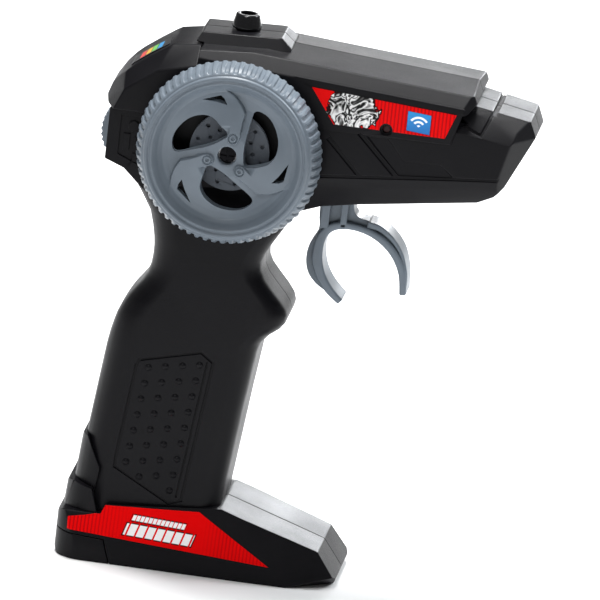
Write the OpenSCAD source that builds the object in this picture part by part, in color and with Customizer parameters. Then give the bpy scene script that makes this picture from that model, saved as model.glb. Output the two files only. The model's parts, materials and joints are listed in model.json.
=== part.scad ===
// Pistol-grip radio transmitter for a model car. +X is forward, +Y is the driver's left,
// +Z is up, and the origin is the middle of the base's flat underside. Millimetres.

/* [Steering wheel] */
// Diameter of the steering wheel over its ribs
wheel_d = 56; // [54:0.5:57]
// Height of the wheel's axle above the table
wheel_z = 132.2; // [131:0.2:133]
// Number of ribs around the wheel
wheel_ribs = 64; // [48:4:72]
// Number of swirled spokes
wheel_spokes = 3; // [3:1:5]

/* [Housing] */
// Half the width of the head between its side walls
head_half = 19.6; // [19:0.2:20]
// Half the width of the grip
grip_half = 16.3; // [15.5:0.1:17]
// Half the width of the base at the table
base_half = 22.4; // [21.6:0.2:23]
// Wall thickness of the two half shells
wall = 1.8; // [1.4:0.1:2.2]
// Width of the narrow lines cut in the shells
line_w = 0.8; // [0.5:0.1:1.2]

/* [Trigger] */
// Width of the trigger across its beam
trigger_w = 11; // [9:0.5:12]

/* [Small parts] */
// Diameter of the trim dial behind the head
dial_d = 22.8; // [22:0.2:23.4]
// Inner radius of the antenna socket
antenna_r = 2.25; // [2:0.05:2.5]
// Diameter of one AA cell
cell_d = 14.2; // [13.8:0.1:14.4]
// Length of one AA cell
cell_l = 50; // [49.5:0.1:50.5]

/* [Hidden] */

$fn = 64;
far = 400;
shell_black = [0.10, 0.10, 0.12];
wheel_grey = [0.47, 0.50, 0.54];
label_red = [0.78, 0.06, 0.06];
metal = [0.75, 0.75, 0.77];
dark_steel = [0.12, 0.12, 0.13];

wheel_x = -2.4;
wheel_r = wheel_d / 2;
wheel_back = -21.9;
wheel_front = -32.4;
shaft_r = 3;
screw_seat = -26.8;
led_at = [43.1, 144.3];
led_r = 1.1;
axle_at = [wheel_x, wheel_z];
pivot = [29.5, 127];
dial_at = [-32.3, 128.4];
post_at = [-3.7, 163.9];
cell_z = 2.3 + cell_d / 2;
cell_y = cell_d / 2 + 0.3;
cell_x = -37;

// ---------- helpers ----------

// An outline in X and Z, extruded from y0 to y1
module side_plate(outline, y0, y1) {
  translate([0, y1, 0]) rotate([90, 0, 0]) linear_extrude(y1 - y0) polygon(outline);
}

// A round bar along Y
module bar_y(at, r, y0, y1) {
  translate([at[0], y1, at[1]]) rotate([90, 0, 0]) cylinder(r = r, h = y1 - y0);
}

// Everything beyond the plane through a, b and c, on the side away from the point "inside"
module beyond(a, b, c, inside) {
  n0 = cross(b - a, c - a);
  n = n0 * (inside - a) > 0 ? -n0 : n0;
  translate(a)
    rotate([0, acos(n[2] / norm(n)), atan2(n[1], n[0])])
      translate([-far / 2, -far / 2, 0]) cube(far);
}

// The same cut on the right and on the left
module beyond_both(a, b, c, inside) {
  beyond(a, b, c, inside);
  mirror([0, 1, 0]) beyond(a, b, c, inside);
}

// A straight line cut of one width between two points of the side view
module side_line(a, b, y0, y1, w = line_w) {
  d = b - a;
  translate([a[0], y1, a[1]]) rotate([90, 0, 0]) linear_extrude(y1 - y0)
    rotate(atan2(d[1], d[0])) translate([-w / 2, -w / 2]) square([norm(d) + w, w]);
}

module side_lines(points, y0, y1, w = line_w) {
  for (i = [0 : len(points) - 2]) side_line(points[i], points[i + 1], y0, y1, w);
}

// A smooth open line through a few points
function smooth_at(p, i, t) =
  let (a = p[max(i - 1, 0)], b = p[i], c = p[i + 1], d = p[min(i + 2, len(p) - 1)])
  0.5 * (2 * b + (c - a) * t + (2 * a - 5 * b + 4 * c - d) * t * t
         + (3 * b - a - 3 * c + d) * t * t * t);
function smooth(p, n = 4) = concat(
  [for (i = [0 : len(p) - 2], j = [0 : n - 1]) smooth_at(p, i, j / n)], [p[len(p) - 1]]);

module right_half() { translate([-far / 2, -far, -far / 2]) cube(far); }
module left_half() { translate([-far / 2, 0, -far / 2]) cube(far); }

// ---------- the grip, as level rings ----------

// Each ring: height, back edge, front edge
grip_rings = [
  [14, -39.4, 4.6], [34, -37.8, 6.9], [52, -35.8, 8.9], [64, -34.5, 10.4], [68.5, -33.8, 11],
  [71.5, -33.1, 11.9], [74.2, -32.4, 14.2], [76.4, -31.4, 17], [78.4, -30.4, 18.5],
  [80.4, -29.2, 18.9], [82.6, -27.6, 18.2], [85, -25.9, 16.4], [88, -24.4, 13.6],
  [91, -23.7, 11], [93.6, -23.5, 9.7], [96.4, -23.5, 9.5], [99, -23.8, 10.4],
  [102.5, -24.5, 12.2], [107, -25.8, 14.8], [112.5, -29.2, 18], [119, -33.6, 23]
];
front_corner = 6.5;
back_corner = 10;

// Distance of the flat facing direction "turn" from the axis, at one ring
function facet_reach(ring, turn, grow) =
  let (deep = (ring[2] - ring[1]) / 2 + grow,
       mid = (ring[2] + ring[1]) / 2,
       wide = grip_half + grow,
       r = cos(turn) > 0 ? front_corner : back_corner)
  mid * cos(turn) + (deep - r) * abs(cos(turn)) + (wide - r) * abs(sin(turn)) + r;

// The pair of flats that face "turn" and its opposite, over the grip's whole height
module facet_pair(turn, grow) {
  outline = concat(
    [for (ring = grip_rings) [facet_reach(ring, turn, grow), ring[0]]],
    [for (i = [len(grip_rings) - 1 : -1 : 0])
      [-facet_reach(grip_rings[i], turn + 180, grow), grip_rings[i][0]]]);
  rotate([0, 0, turn]) side_plate(outline, -60, 60);
}

module grip_solid(grow = 0) {
  intersection() {
    intersection_for (turn = [0, 15, 30, 45, 60, 75, 105, 120, 135, 150, 165])
      facet_pair(turn, grow);
    translate([-far / 2, -grip_half - grow, 0])
      cube([far, 2 * (grip_half + grow), far]);
  }
}

// ---------- the head ----------

head_outline = [
  [-24, 111], [-34.4, 120.4], [-40.3, 122.6], [-40.3, 138.4], [-28, 138.4], [-15, 150],
  [-15, 156], [66, 153.5], [69.3, 152.9], [84.9, 150.2], [86.9, 145.4], [79.6, 130.3],
  [76.7, 126.9], [71.8, 124.1], [36, 118.1], [25.3, 115.8], [19.6, 113.2], [16, 110]
];
roof_outline = [
  [-15, 150], [-15, 160.5], [11.5, 161.9], [67.4, 158.1], [68.8, 154.6], [66.5, 151.6]
];
block_outline = [[-15, 159], [-15, 160.7], [-17.3, 160.8], [-15.9, 163.6], [8, 164.6],
                 [11.3, 161.9], [11.3, 159]];
panel_outline = [[14, 141.6], [25.8, 141.7], [62.6, 142.3], [65.9, 153.6], [14, 157]];
roof_half = 20.5;
block_half = 14.9;
head_mid = [30, 0, 140];

module nose_cuts() {
  nose_a = [74.9, -11.7, 152];
  nose_b = [84.2, -11.7, 150.1];
  nose_c = [79.1, -15.9, 148.4];
  cheek = [81.1, -18.7, 144.9];
  tip = [86.4, -11.2, 145.3];
  jaw = [77.6, -19.6, 133.4];
  beyond_both(nose_a, nose_b, nose_c, head_mid);
  beyond_both(nose_b, tip, cheek, head_mid);
  beyond_both(tip, cheek, jaw, head_mid);
  beyond_both([70, -15.9, 149.6], nose_c, cheek, head_mid);
}

// The head's lower edges, leaning in towards the bottom and towards the grip
module lower_cuts() {
  beyond_both([26.3, -19.6, 127.6], [64.6, -19.6, 131.6], [55.2, -15.7, 121.4], head_mid);
  beyond_both([26.3, -17, 122.8], [64.6, -17, 126.8], [55.2, -12.5, 120.2], head_mid);
  beyond_both([-20, -19.6, 120.5], [10, -19.6, 120.5], [0, -16.2, 110.8], head_mid);
}

module head_core() {
  difference() {
    side_plate(head_outline, -head_half, head_half);
    nose_cuts();
    lower_cuts();
    // slot between the neck and the nose
    translate([73.5, -far / 2, 151]) cube([1.3, far, 10]);
    // narrower block behind the wheel
    for (s = [-1, 1]) mirror([0, s > 0 ? 1 : 0, 0]) difference() {
      translate([-60, -60, 100]) cube([36, 60 - block_half, 60]);
      beyond([-28, -block_half, 120], [-28, -block_half, 140], [-24, -head_half, 130],
             [-60, -60, 130]);
    }
  }
}

module roof() {
  difference() {
    side_plate(roof_outline, -roof_half, roof_half);
    // crown: both sides fall away from the middle ridge, then a steep bevel
    beyond_both([11.5, 0, 161.9], [67.6, 0, 158.1], [67.6, -16.3, 156.8], head_mid);
    beyond_both([11.5, -16.3, 160.6], [67.6, -16.3, 156.8], [67.6, -20.5, 152.9], head_mid);
    beyond_both([67.2, -16.3, 156.8], [65.3, -20.5, 153], [68.5, -16.3, 153.4], head_mid);
  }
}

module raised_block() {
  difference() {
    side_plate(block_outline, -12, 12);
    beyond_both([-16, -8.4, 163.5], [8, -8.4, 164.5], [8, -11.4, 160.4], [0, 0, 160]);
    beyond_both([8, -7.6, 164.6], [11.3, -8.8, 161.9], [9.5, -11.2, 160.4], [0, 0, 160]);
  }
}

module label_panels() {
  for (s = [-1, 1]) {
    difference() {
      side_plate(panel_outline, s > 0 ? head_half - 1 : -roof_half,
                 s > 0 ? roof_half : 1 - head_half);
      bar_y(led_at, led_r + 0.6, -far, far);
    }
  }
}

module head_solid() {
  head_core();
  roof();
  raised_block();
  label_panels();
}

// Shallow lines and steps on the head's side walls
module head_lines(s) {
  y0 = s > 0 ? head_half - 0.6 : -head_half - 1;
  y1 = s > 0 ? head_half + 1 : 0.6 - head_half;
  side_lines([[22, 126.9], [64.6, 131.7], [80, 133.2]], y0, y1);
  side_line([26.4, 138.9], [36.4, 129], y0, y1, 1.1);
  side_line([35.6, 141.6], [47.3, 130.2], y0, y1, 1.1);
  shallow_y0 = s > 0 ? head_half - 0.35 : -head_half - 1;
  shallow_y1 = s > 0 ? head_half + 1 : 0.35 - head_half;
  side_plate([[44, 141.4], [49.2, 135.2], [60.4, 135.4], [64.6, 132.1], [48.4, 130.4],
              [38, 141.2]], shallow_y0, shallow_y1);
}

// A V-shaped line over the neck's two leaning faces
module neck_line(s) {
  difference() {
    side_lines([[66.4, 147.8], [71.3, 146], [74.1, 152.6]], s > 0 ? 8 : -30, s > 0 ? 30 : -8, 0.7);
    translate([0, -s * 0.6, 0]) difference() {
      translate([60, -far / 2, 130]) cube([30, far, 40]);
      nose_cuts();
    }
  }
}

// ---------- the base ----------

base_outline = [
  [-41.8, 0], [-43, 1.8], [-43, 12.8], [-41, 14.5], [-29.6, 14.5], [-28.4, 17.2],
  [6.3, 20.3], [36.3, 10.9], [42.4, 3], [41.4, 0]
];
base_mid = [0, 0, 6];
crease_rear = [-41, -21.5, 9];
crease_front = [25.5, -21.1, 5];
toe_low = [27.6, -base_half, 0];
toe_top_rear = [6.3, -18.3, 20.3];
toe_top_front = [36.3, -16.4, 10.9];

module base_plan() {
  corner = 9;
  hull() {
    for (s = [-1, 1]) translate([-43 + corner, s * (base_half - corner)]) circle(corner);
    translate([43, -base_half]) square([1, 2 * base_half]);
  }
}

module base_solid() {
  difference() {
    intersection() {
      side_plate(base_outline, -base_half, base_half);
      linear_extrude(40) base_plan();
    }
    beyond_both(toe_low, crease_front, crease_rear, base_mid);
    beyond_both(crease_front, crease_rear, toe_top_rear, base_mid);
    beyond_both(crease_front, toe_top_front, toe_top_rear, base_mid);
    beyond_both(toe_low, crease_front, toe_top_front, base_mid);
    beyond_both(toe_low, [40.2, -10.8, 0], [42, -15.6, 3], base_mid);
  }
}

// Collar and tongue that wrap the foot of the grip
module grip_foot() {
  intersection() {
    grip_solid(2.6);
    side_plate([[-50, 14], [-50, 17.5], [-39.5, 22.6], [-33, 21.4], [-30.6, 14]], -30, 30);
  }
  intersection() {
    grip_solid(0.9);
    side_plate([[-50, 20], [-50, 36.4], [-36.5, 36.4], [-31.6, 27.6], [-32.6, 20]], -30, 30);
  }
}

// ---------- what the two half shells are cut from ----------

door_region = [[-60, -5], [-60, 9.2], [-27.8, 7], [-23.6, -5]];
door_plate_x = 14;
door_plate_half = 17.2;
door_plate_t = 1.9;

module door_space(gap) {
  side_plate([[-60, -5], [-60, 9.2 + gap], [-27.8 + gap, 7 + gap], [-23.6 + gap, -5]],
             -40, 40);
  translate([-50, -door_plate_half - gap, -5])
    cube([50 + door_plate_x + gap, 2 * (door_plate_half + gap), 5 + door_plate_t + gap]);
}

panel_line = [[-23.2, 62.6], [-5, 67.3], [-1.1, 64.6], [-6.3, 21], [-10, 19.6],
              [-27.2, 28.7], [-27.2, 31.8], [-24, 60.8], [-23.2, 62.6]];

module grip_panel(s) {
  y0 = s > 0 ? grip_half - 0.6 : -grip_half - 1;
  y1 = s > 0 ? grip_half + 1 : 0.6 - grip_half;
  side_lines(panel_line, y0, y1);
  side_line([-2.9, 64.4], [-7.9, 22], y0, y1, 0.5);
}

// Raised dots in rows across the grip panel
module grip_dots(s) {
  for (row = [0 : 8], col = [0 : 3])
    if (row < 7 || (row == 7 && col > 0) || (row == 8 && col > 2))
      translate([-20.3 - 0.62 * row + 5.07 * col, s * (grip_half - 0.75),
                 60.6 - 4.99 * row + 0.96 * col]) sphere(r = 1.3, $fn = 16);
}

// Framed relief on the block behind the wheel
module rear_relief(s) {
  y0 = s > 0 ? block_half - 0.5 : -block_half - 1;
  y1 = s > 0 ? block_half + 1 : 0.5 - block_half;
  difference() {
    side_plate([[-36.6, 124.5], [-36.6, 136.6], [-24, 136.6], [-24, 121.8], [-30, 121.8]],
               y0, y1);
    bar_y([-32.6, 133.4], 1.7, y0, y1);
    side_plate([[-35.4, 126], [-35.4, 131], [-33.4, 131], [-33.4, 126]], y0, y1);
    side_plate([[-32, 127], [-32, 130.2], [-28.6, 130.2], [-28.6, 127]], y0, y1);
    side_plate([[-29.5, 132], [-29.5, 136.6], [-27.3, 136.6], [-27.3, 132]], y0, y1);
    side_plate([[-32.2, 122.6], [-32.2, 125.2], [-27, 125.2], [-27, 122.6]], y0, y1);
  }
}

// Inside of the housing, a wall thickness in from the outside
module housing_inside() {
  w = wall;
  side_plate([[-38.3, 124], [-38.3, 136.6], [-27, 136.6], [-13, 149.4], [-13, 155],
              [66, 152.6], [70, 149.6], [78, 146], [83.6, 145], [77.5, 132.4],
              [71.6, 127.6], [36, 121.4], [24, 118.8], [12, 112], [-24, 112]],
             w - 13, 13 - w);
  side_plate([[-21, 122], [-21, 143], [-13, 149.4], [-13, 155], [60, 152.8], [66, 149],
              [74, 143], [73, 134], [62, 133.2], [20, 128.6], [14, 122]],
             w + 0.8 - head_half, head_half - 0.8 - w);
  intersection() {
    grip_solid(-w);
    translate([-50, -30, 14]) cube([100, 60, 102]);
  }
  side_plate([[-41, 0.5], [-41, 12.2], [-28, 12.2], [-26.4, 15.2], [6, 18.2], [18, 14.4],
              [18, 2.2], [14.2, 2.2], [14.2, 0.5]], -16, 16);
  for (s = [-1, 1]) translate([cell_x, s * cell_y, cell_z]) rotate([0, 90, 0]) {
    translate([0, 0, -1.5]) cylinder(r = cell_d / 2 + 0.3, h = cell_l + 2.5);
    translate([0, 0, -3.2]) cylinder(r = 5.2, h = cell_l + 6.6);
  }
}

// Screw towers inside the shells
screw_places = [[-14, 118.5], [14.6, 118.5], [70.5, 136.5], [54, 147.4], [3, 50], [27, 7]];

module screw_towers() {
  for (place = screw_places) bar_y(place, 3.2, -18, 18);
  for (s = [-1, 1]) bar_y(pivot, 3, s > 0 ? 10.4 : -18, s > 0 ? 18 : -10.4);
}

module screw_holes() {
  for (place = screw_places) {
    bar_y(place, 1.3, -9, 30);
    bar_y(place, 2.6, 11.6, 30);
  }
}

module housing_cuts() {
  // bush seat, trigger slot, dial slot, antenna seat, switch window, battery bay
  bar_y(axle_at, 6, -30, -10);
  bar_y(led_at, led_r + 0.1, -30, -10);
  bar_y(pivot, 1.54, -14.2, 14.2);
  translate([pivot[0] - 10, -trigger_w / 2 - 0.8, 112]) cube([18.4, trigger_w + 1.6, 12]);
  bar_y(dial_at, dial_d / 2 + 0.6, -3.6, 3.6);
  translate([post_at[0], 0, 156]) cylinder(r = 3.2, h = 20);
  translate([post_at[0], 0, 150]) cylinder(r = 1.2, h = 10);
  translate([switch_at[0] - 4, head_half - 6, switch_at[1] - 1.8]) cube([8.2, 12, 3.6]);
  door_space(0.15);
}

module housing_half(s) {
  difference() {
    union() {
      difference() {
        union() {
          head_solid();
          grip_solid();
          base_solid();
          grip_foot();
        }
        difference() {
          housing_inside();
          screw_towers();
        }
      }
      grip_dots(s);
    }
    head_lines(s);
    neck_line(s);
    grip_panel(s);
    rear_relief(s);
    screw_holes();
    housing_cuts();
    if (s < 0) left_half(); else right_half();
  }
}

module right_shell() { color(shell_black) housing_half(-1); }
module left_shell() { color(shell_black) housing_half(1); }

// ---------- rear hood ----------

hood_outline = [
  [-15.3, 152], [-15.3, 160.4], [-17.5, 160.2], [-23.8, 159.3], [-30.5, 154.7],
  [-35.3, 151], [-38.8, 147.5], [-41.2, 143.8], [-42.3, 140.4], [-41.5, 138.9],
  [-28.2, 138.9], [-15.3, 150.4]
];
hood_half = 18.7;
hood_mid = [-20, 0, 145];

module hood_solid() {
  difference() {
    side_plate(hood_outline, -hood_half, hood_half);
    beyond_both([-16, -12.9, 159.9], [-24.6, -11.5, 158.8], [-20, -18, 154.8], hood_mid);
    beyond_both([-24.6, -11.5, 158.8], [-24.4, -18, 154.8], [-36.3, -18.4, 145.6], hood_mid);
    beyond_both([-38.8, -9, 147.5], [-36.3, -18.4, 145.6], [-42, -9, 140], hood_mid);
  }
}

module rear_hood() {
  color(shell_black) difference() {
    hood_solid();
    side_plate([[-40.3, 138], [-39.4, 142], [-36.4, 145], [-29.2, 151], [-23, 155.2],
                [-17.3, 156], [-17.3, 148.2], [-28.4, 138]], -13, 13);
    bar_y(dial_at, dial_d / 2 + 0.8, -3.6, 3.6);
  }
}

// ---------- labels ----------

label_t = 0.25;
head_label_outline = [[19.7, 154.4], [63.6, 151.7], [60.8, 144.1], [27.3, 143.9]];
badge_at = [52.6, 147.9];
base_label_outline = [
  [-39, 9], [-39.1, 12.7], [-34.3, 13.6], [-31.4, 14.4], [-28.4, 17.2], [-0.2, 18.7],
  [22.6, 5.4]
];
hood_label_x = [-36, -25.2];
hood_label_y = [-8.6, 1.4];

module head_label(s) {
  color(label_red) difference() {
    side_plate(head_label_outline, s > 0 ? roof_half : -roof_half - label_t,
               s > 0 ? roof_half + label_t : -roof_half);
    bar_y(led_at, led_r + 0.9, -30, 30);
    badge_plates(0.1, -30, 30);
  }
}

module badge_plates(grow, y0, y1) {
  b = 3.5 + grow;
  side_plate([[badge_at[0] - b, badge_at[1] - b * 0.8], [badge_at[0] - b, badge_at[1] + b * 0.9],
              [badge_at[0] + b, badge_at[1] + b * 0.75], [badge_at[0] + b, badge_at[1] - b * 0.95]],
             y0, y1);
}

module base_label(s) {
  color(label_red) intersection() {
    side_plate(base_label_outline, s > 0 ? 0 : -60, s > 0 ? 60 : 0);
    difference() {
      translate([0, s * label_t, 0]) base_solid();
      base_solid();
      grip_solid(0.3);
      grip_foot();
    }
  }
}

module right_head_label() { head_label(-1); }
module left_head_label() { head_label(1); }
module right_base_label() { base_label(-1); }
module left_base_label() { base_label(1); }

module head_badges() {
  color([0.05, 0.3, 0.65]) {
    badge_plates(0, -roof_half - label_t, -roof_half);
    badge_plates(0, roof_half, roof_half + label_t);
  }
}

module hood_label() {
  color([0.9, 0.8, 0.1]) intersection() {
    translate([hood_label_x[0], hood_label_y[0], 145])
      cube([hood_label_x[1] - hood_label_x[0], hood_label_y[1] - hood_label_y[0], 20]);
    difference() {
      translate([-0.15, 0, 0.2]) hood_solid();
      hood_solid();
    }
  }
}

// ---------- fixed small parts ----------

module antenna_post() {
  color([0.05, 0.05, 0.06]) translate([post_at[0], 0, 0]) rotate_extrude()
    polygon([[0, 157.5], [3.1, 157.5], [3.1, 164.4], [4.3, 164.4], [4.45, 164.7], [4.45, 165.2],
             [3.6, 168.6], [3.3, 168.9], [antenna_r, 168.9], [antenna_r, 159.9], [0, 159.9]]);
}

module shell_screws() {
  color(metal) for (place = screw_places) {
    bar_y(place, 1.25, -6, 11.6);
    difference() {
      bar_y(place, 2.4, 11.6, 13.4);
      translate([place[0] - 2, 12.6, place[1] - 0.3]) cube([4, 2, 0.6]);
      translate([place[0] - 0.3, 12.6, place[1] - 2]) cube([0.6, 2, 4]);
    }
  }
}

module power_led() {
  color([0.35, 0.02, 0.02]) {
    bar_y(led_at, led_r, -18.8, -13);
    bar_y(led_at, led_r + 0.4, -14, -13);
  }
}

module wheel_bush() {
  color(metal) difference() {
    union() {
      bar_y(axle_at, 5.9, -20.6, -16.8);
      bar_y(axle_at, 7.2, -16.95, -16.1);
    }
    bar_y(axle_at, shaft_r + 0.06, -30, 0);
  }
}

module steering_pot() {
  color([0.2, 0.25, 0.5]) difference() {
    union() {
      bar_y(axle_at, 7.6, -8, -2.4);
      translate([wheel_x - 5, -8, wheel_z - 12]) cube([10, 1.6, 6]);
    }
    bar_y(axle_at, shaft_r + 0.06, -30, 0);
  }
}

// Close-wound turns of wire around the Y direction
module wound_spring(at, r, wire, y0, turns) {
  for (i = [0 : turns - 1])
    translate([at[0], y0 + i * wire * 0.9, at[1]]) rotate([90, 0, 0])
      rotate_extrude() translate([r, 0]) circle(wire / 2, $fn = 20);
}

module steering_spring() {
  color(metal) {
    wound_spring(axle_at, 5, 1, -14.6, 5);
    translate([wheel_x + 5, -14.6, wheel_z]) cylinder(r = 0.45, h = 9);
    translate([wheel_x - 5, -11, wheel_z]) cylinder(r = 0.45, h = 9);
  }
}

module trigger_pin() { color(metal) bar_y(pivot, 1.5, -14, 14); }

module throttle_pot() {
  color([0.2, 0.25, 0.5]) difference() {
    union() {
      bar_y(pivot, 5, 6.4, 10);
      translate([pivot[0] - 3, 8.4, pivot[1] + 3]) cube([6, 1.6, 5]);
    }
    bar_y(pivot, 1.7, 0, 20);
  }
}

module trigger_spring() {
  color(metal) {
    wound_spring(pivot, 2.9, 0.8, -9, 4);
    translate([pivot[0] + 2.9, -9, pivot[1]]) cylinder(r = 0.36, h = 6);
    translate([pivot[0] - 2.9, -6.9, pivot[1]]) cylinder(r = 0.36, h = 6);
  }
}

module trim_pot() {
  color([0.2, 0.25, 0.5]) difference() {
    bar_y(dial_at, 4, 5.4, 9.6);
    bar_y(dial_at, 2.06, 0, 20);
  }
}

board_z = 138;
module circuit_board() {
  color([0.05, 0.35, 0.15]) difference() {
    translate([18, -13, board_z]) cube([42, 26, 1.6]);
    for (y = [-10, 10]) translate([56, y, board_z - 1]) cylinder(r = 1.5, h = 4);
  }
}

module board_chips() {
  color([0.15, 0.15, 0.15]) {
    translate([30, -5, board_z + 1.6]) cube([9, 9, 1.4]);
    translate([22, 3, board_z + 1.6]) cube([5, 4, 1.2]);
    translate([45, -8, board_z + 1.6]) cube([6, 5, 1.6]);
    translate([47, 6, board_z + 1.6]) cylinder(r = 2.5, h = 5);
  }
}

// A round wire along a smooth route: rings of points joined into one closed tube
wire_sides = 8;
function across(d) = cross(d, [0.3, 1, 0.2]) / norm(cross(d, [0.3, 1, 0.2]));
function wire_ring(p, i, r) =
  let (d0 = p[min(i + 1, len(p) - 1)] - p[max(i - 1, 0)],
       d = d0 / norm(d0), u = across(d), v = cross(d, u))
  [for (k = [0 : wire_sides - 1])
    p[i] + r * (cos(k * 360 / wire_sides) * u + sin(k * 360 / wire_sides) * v)];

module wire(route, r) {
  p = smooth(route, 4);
  n = wire_sides;
  polyhedron(
    points = [for (i = [0 : len(p) - 1]) each wire_ring(p, i, r)],
    faces = concat(
      [[for (k = [0 : n - 1]) k]],
      [for (i = [0 : len(p) - 2], k = [0 : n - 1])
        [i * n + k, (i + 1) * n + k, (i + 1) * n + (k + 1) % n, i * n + (k + 1) % n]],
      [[for (k = [n - 1 : -1 : 0]) (len(p) - 1) * n + k]]));
}

module antenna_wire() {
  color([0.1, 0.1, 0.1])
    wire([[post_at[0], 0, 157.4], [post_at[0], 0, 153], [-1, 0, 149], [6, 3, 145],
          [15, 5, 141.2], [19.5, 5, 140.4]], 0.6);
}

module battery_wires() {
  color([0.6, 0.05, 0.05]) for (y = [-0.9, 0.9])
    wire([[16.6, y, 10.5], [14.6, y, 14.4], [4, y, 17], [-6, y + 6, 30], [-8, y + 9, 60],
          [-8, y + 9, 90], [2, y + 9, 118], [12, y + 9, 131], [19, y + 9, 137.3]], 0.6);
}

switch_at = [-1, 146];
module switch_body() {
  color([0.3, 0.3, 0.32]) translate([switch_at[0] - 5, 11.5, switch_at[1] - 2.6])
    cube([10, 4.6, 5.2]);
}

module switch_slider() {
  color([0.1, 0.1, 0.1]) {
    translate([switch_at[0] - 3.6, 16.2, switch_at[1] - 1.4]) cube([3.6, 4.9, 2.8]);
    for (i = [0 : 2])
      translate([switch_at[0] - 3.2 + 1.1 * i, 21, switch_at[1] - 1.4]) cube([0.6, 0.5, 2.8]);
  }
}

// One AA cell along X, with its raised pole forward or back
module cell(y, flip) {
  color([0.2, 0.5, 0.3]) translate([cell_x, y, cell_z]) rotate([0, 90, 0]) {
    translate([0, 0, flip ? 1 : 0]) cylinder(r = cell_d / 2, h = cell_l - 1);
    translate([0, 0, flip ? 0 : cell_l - 2]) cylinder(r = 2.7, h = 2);
  }
}
module cell_right() { cell(-cell_y, false); }
module cell_left() { cell(cell_y, true); }

module cell_springs() {
  color(metal) {
    for (i = [0 : 2])
      translate([cell_x - 0.5 - 0.7 * i, -cell_y, cell_z]) rotate([0, 90, 0])
        rotate_extrude() translate([3 + 0.6 * i, 0]) circle(0.5, $fn = 16);
    for (i = [0 : 2])
      translate([cell_x + cell_l + 0.5 + 0.7 * i, cell_y, cell_z]) rotate([0, 90, 0])
        rotate_extrude() translate([3 + 0.6 * i, 0]) circle(0.5, $fn = 16);
  }
}

module cell_plates() {
  color(metal) {
    translate([cell_x - 3, -12, cell_z - 5]) cube([0.4, 24, 7.4]);
    for (y = [-12.5, 2.5])
      translate([cell_x + cell_l + 2.4, y, cell_z - 5]) cube([0.4, 10, 9]);
  }
}

// ---------- steering wheel ----------

wheel_w = wheel_back - wheel_front;
rib_deep = 0.9;

// One opening between two spokes, seen from the front
spoke_opening = [
  [-15.1, -0.8], [-17, 1.6], [-15.6, 6.4], [-12.2, 10.2], [-8.4, 11.7], [-5.6, 11.3],
  [-2.5, 8.9], [-0.2, 6.6], [-4, 3.2], [-8.2, 1.4]
];
rim_slot = [[-8.8, 16.4], [-3.4, 18.2], [-1.6, 15.6]];

module wheel_turned(turn) {
  translate([wheel_x, 0, wheel_z]) rotate([0, turn, 0]) children();
}

module wheel_rim() {
  color(wheel_grey) difference() {
    union() {
      // ribbed tread
      translate([wheel_x, wheel_back, wheel_z]) rotate([90, 0, 0]) linear_extrude(wheel_w - 2.2)
        polygon([for (i = [0 : 4 * wheel_ribs - 1])
          let (r = wheel_r - (i % 4 < 2 ? 0 : rib_deep), turn = i * 90 / wheel_ribs)
          [r * cos(turn), r * sin(turn)]]);
      // shoulder, lip, dish and hub
      translate([wheel_x, 0, wheel_z]) rotate([90, 0, 0]) rotate_extrude()
        polygon([[0, -wheel_back + 2.4], [19, -wheel_back + 2.4], [26, -wheel_back + 6.5],
                 [26.8, -wheel_back + 8], [25, -wheel_front - 0.6], [24.4, -wheel_front],
                 [22.4, -wheel_front], [21.8, -wheel_front - 1], [20, -wheel_front - 3.4],
                 [17, -wheel_front - 4.8], [6, -wheel_front - 4.6], [5.4, -wheel_front - 2.6],
                 [0, -wheel_front - 2.4]]);
    }
    // hollow back
    translate([wheel_x, 0, wheel_z]) rotate([90, 0, 0]) rotate_extrude()
      polygon([[4.6, 0], [4.6, -wheel_back + 3.6], [17, -wheel_back + 3.6],
               [23, -wheel_back + 6.2], [24.6, -wheel_back + 5.6], [25, 0]]);
    for (i = [0 : wheel_spokes - 1]) wheel_turned(i * 360 / wheel_spokes) {
      side_plate(spoke_opening, -60, 0);
      side_plate(rim_slot, -60, 0);
    }
    bar_y(axle_at, shaft_r + 0.02, -40, 0);
  }
}

module brake_disc() {
  color([0.36, 0.38, 0.41]) difference() {
    bar_y(axle_at, 12, -24, -22.4);
    bar_y(axle_at, 4.6, -30, -20);
    for (i = [0 : 11]) wheel_turned(i * 30) {
      bar_y([7, 0], 0.6, -30, -23);
      bar_y([10 * cos(15), 10 * sin(15)], 0.6, -30, -23);
    }
  }
}

module steering_shaft() {
  color(metal) {
    bar_y(axle_at, shaft_r, screw_seat, -0.8);
    bar_y(axle_at, 4.4, -16, -15.3);
  }
}

module wheel_screw() {
  color(dark_steel) difference() {
    bar_y(axle_at, 2.5, screw_seat - 1.2, screw_seat);
    translate([wheel_x - 2, screw_seat - 2, wheel_z - 0.35]) cube([4, 1.3, 0.7]);
    translate([wheel_x - 0.35, screw_seat - 2, wheel_z - 2]) cube([0.7, 1.3, 4]);
  }
}

// ---------- trigger ----------

trigger_outer_rear = [[24.4, 123], [24.2, 112], [24.5, 106.6], [22.2, 101.6], [21.7, 97],
                      [22.8, 92.8], [25.6, 89.6], [29.6, 87.2], [33.2, 84.8]];
trigger_inner_rear = [[34.3, 86.4], [31.4, 89.1], [29.4, 91.6], [27.9, 94.4], [27, 97.6],
                      [26.8, 101], [27.2, 104], [28.5, 106.4], [30.4, 107.6]];
trigger_inner_front = [[33.2, 108.1], [36.4, 107.9], [40.1, 106.9], [43.9, 104.8],
                       [47, 101.9], [49.1, 98.6], [50.3, 95.2], [50.9, 90.2]];
trigger_outer_front = [[52.7, 90.2], [52.9, 94.6], [52.1, 99.2], [50.4, 103.6],
                       [47.4, 107.4], [43.4, 110.4], [39.4, 111.3], [36, 112.2],
                       [34.6, 115], [34.6, 123]];

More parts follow.
